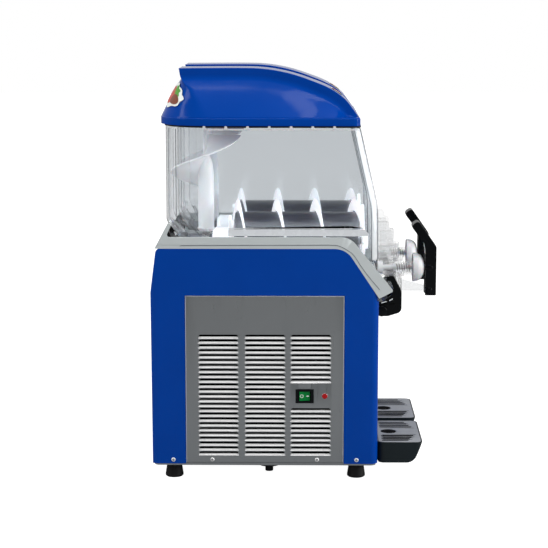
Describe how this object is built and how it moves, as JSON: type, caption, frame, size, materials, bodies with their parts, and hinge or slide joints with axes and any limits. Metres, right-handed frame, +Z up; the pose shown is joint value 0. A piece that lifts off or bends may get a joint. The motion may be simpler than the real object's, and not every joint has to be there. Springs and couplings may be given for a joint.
{
  "type": "slush machine",
  "caption": "Countertop frozen drink machine: blue cabinet with louvred sides, clear bowls with augers under blue lids, pull taps and drip trays.",
  "frame": {"origin": "on the table under the middle of the whole machine's bounding box", "axes": "+Z up, front (taps and trays) towards -Y, +X to the right of someone facing the front"},
  "size_m": [0.403, 0.5766, 0.8123],
  "materials": {
    "blue_shell": "glossy moulded plastic",
    "vent_steel": "brushed",
    "deck_grey": "satin moulded plastic",
    "clear_bowl": "clear moulded plastic",
    "drum_steel": "polished",
    "auger_white": "satin translucent plastic",
    "tap_white": "smooth plastic",
    "black_plastic": "satin moulded plastic",
    "tray_dark": "satin moulded plastic",
    "grille_grey": "satin moulded plastic",
    "rubber": "matt",
    "seal_grey": "matt",
    "pin_steel": "turned",
    "motor_dark": "painted",
    "copper": "drawn tube",
    "aluminium": "fins and blades",
    "green_switch": "clear tinted",
    "red_lens": "clear tinted"
  },
  "bodies": {
    "root": {"base_pan": "vent_steel", "feet": "rubber", "left_side_shell": "blue_shell", "right_side_shell": "blue_shell", "left_vent_panel": "vent_steel", "right_vent_panel": "vent_steel", "front_panel": "blue_shell", "rear_panel": "vent_steel", "deck": "deck_grey", "compressor": "motor_dark", "condenser": "aluminium", "fan_motor": "motor_dark", "switch_bezel": "black_plastic", "pilot_lamp": "red_lens", "panel_screws": "pin_steel", "drain_spigot": "black_plastic", "cord_gland": "black_plastic", "refrigerant_lines": "copper", "left_bowl": "clear_bowl", "left_evaporator": "drum_steel", "left_auger_post": "pin_steel", "left_gearmotor": "motor_dark", "left_bowl_seal": "seal_grey", "left_tap_body": "clear_bowl", "left_tap_spring": "pin_steel", "left_handle_pin": "pin_steel", "left_rear_clips": "rubber", "right_bowl": "clear_bowl", "right_evaporator": "drum_steel", "right_auger_post": "pin_steel", "right_gearmotor": "motor_dark", "right_bowl_seal": "seal_grey", "right_tap_body": "clear_bowl", "right_tap_spring": "pin_steel", "right_handle_pin": "pin_steel", "right_rear_clips": "rubber"},
    "fan_blade": {"fan_blade": "aluminium"},
    "rocker": {"rocker": "green_switch"},
    "left_lid": {"left_lid": "blue_shell", "left_rim_seal": "rubber"},
    "left_auger": {"left_auger": "auger_white", "left_drive_shaft": "pin_steel"},
    "left_lift_auger": {"left_lift_auger": "auger_white"},
    "left_tap_handle": {"left_tap_handle": "black_plastic"},
    "left_tap_piston": {"left_tap_piston": "tap_white", "left_tap_cap": "tap_white"},
    "left_bowl_latch": {"left_bowl_latch": "black_plastic"},
    "left_drip_tray": {"left_drip_tray": "tray_dark"},
    "left_tray_grille": {"left_tray_grille": "grille_grey"},
    "right_lid": {"right_lid": "blue_shell", "right_rim_seal": "rubber"},
    "right_auger": {"right_auger": "auger_white", "right_drive_shaft": "pin_steel"},
    "right_lift_auger": {"right_lift_auger": "auger_white"},
    "right_tap_handle": {"right_tap_handle": "black_plastic"},
    "right_tap_piston": {"right_tap_piston": "tap_white", "right_tap_cap": "tap_white"},
    "right_bowl_latch": {"right_bowl_latch": "black_plastic"},
    "right_drip_tray": {"right_drip_tray": "tray_dark"},
    "right_tray_grille": {"right_tray_grille": "grille_grey"}
  },
  "joints": [
    {"name": "fan_spin", "type": "hinge", "parent": "root", "child": "fan_blade", "pos_m": [-0.094, 0.0543, 0.17], "axis": [1, 0, 0], "continuous": true},
    {"name": "rocker_tilt", "type": "hinge", "parent": "root", "child": "rocker", "pos_m": [-0.195, -0.0255, 0.1694], "axis": [0, 0, 1], "range_deg": [-15.5, 0]},
    {"name": "left_lid_lift", "type": "slide", "parent": "root", "child": "left_lid", "axis": [0, 0, 1], "range_m": [0, 0.14]},
    {"name": "left_auger_spin", "type": "hinge", "parent": "root", "child": "left_auger", "pos_m": [-0.1, 0.0543, 0.466], "axis": [0, 1, 0], "continuous": true},
    {"name": "left_lift_auger_spin", "type": "hinge", "parent": "root", "child": "left_lift_auger", "pos_m": [-0.1, 0.1717, 0.5], "axis": [0, 0, 1], "continuous": true},
    {"name": "left_tap_pull", "type": "hinge", "parent": "root", "child": "left_tap_handle", "pos_m": [-0.1, -0.2747, 0.368], "axis": [1, 0, 0], "range_deg": [0, 14.5], "stiffness_Nm_per_rad": 1.5, "springref_deg": -17.19},
    {"name": "left_tap_piston_slide", "type": "slide", "parent": "root", "child": "left_tap_piston", "axis": [0, -1, 0], "range_m": [0, 0.0116], "deforming": ["left_tap_spring"]},
    {"name": "left_latch_release", "type": "hinge", "parent": "root", "child": "left_bowl_latch", "pos_m": [-0.1, -0.1797, 0.327], "axis": [1, 0, 0], "range_deg": [0, 20]},
    {"name": "left_tray_pull", "type": "slide", "parent": "root", "child": "left_drip_tray", "axis": [0, -1, 0], "range_m": [0, 0.06]},
    {"name": "left_grille_lift", "type": "slide", "parent": "left_drip_tray", "child": "left_tray_grille", "axis": [0, 0, 1], "range_m": [0, 0.05]},
    {"name": "right_lid_lift", "type": "slide", "parent": "root", "child": "right_lid", "axis": [0, 0, 1], "range_m": [0, 0.14]},
    {"name": "right_auger_spin", "type": "hinge", "parent": "root", "child": "right_auger", "pos_m": [0.1, 0.0543, 0.466], "axis": [0, 1, 0], "continuous": true},
    {"name": "right_lift_auger_spin", "type": "hinge", "parent": "root", "child": "right_lift_auger", "pos_m": [0.1, 0.1717, 0.5], "axis": [0, 0, 1], "continuous": true},
    {"name": "right_tap_pull", "type": "hinge", "parent": "root", "child": "right_tap_handle", "pos_m": [0.1, -0.2747, 0.368], "axis": [1, 0, 0], "range_deg": [0, 14.5], "stiffness_Nm_per_rad": 1.5, "springref_deg": -17.19},
    {"name": "right_tap_piston_slide", "type": "slide", "parent": "root", "child": "right_tap_piston", "axis": [0, -1, 0], "range_m": [0, 0.0116], "deforming": ["right_tap_spring"]},
    {"name": "right_latch_release", "type": "hinge", "parent": "root", "child": "right_bowl_latch", "pos_m": [0.1, -0.1797, 0.327], "axis": [1, 0, 0], "range_deg": [0, 20]},
    {"name": "right_tray_pull", "type": "slide", "parent": "root", "child": "right_drip_tray", "axis": [0, -1, 0], "range_m": [0, 0.06]},
    {"name": "right_grille_lift", "type": "slide", "parent": "right_drip_tray", "child": "right_tray_grille", "axis": [0, 0, 1], "range_m": [0, 0.05]}
  ],
  "couplings": [
    {"joint": "left_lift_auger_spin", "follows": "left_auger_spin", "ratio": 1.5},
    {"joint": "left_tap_piston_slide", "follows": "left_tap_pull", "m_per_rad": 0.0457},
    {"joint": "right_lift_auger_spin", "follows": "right_auger_spin", "ratio": 1.5},
    {"joint": "right_tap_piston_slide", "follows": "right_tap_pull", "m_per_rad": 0.0457}
  ]
}
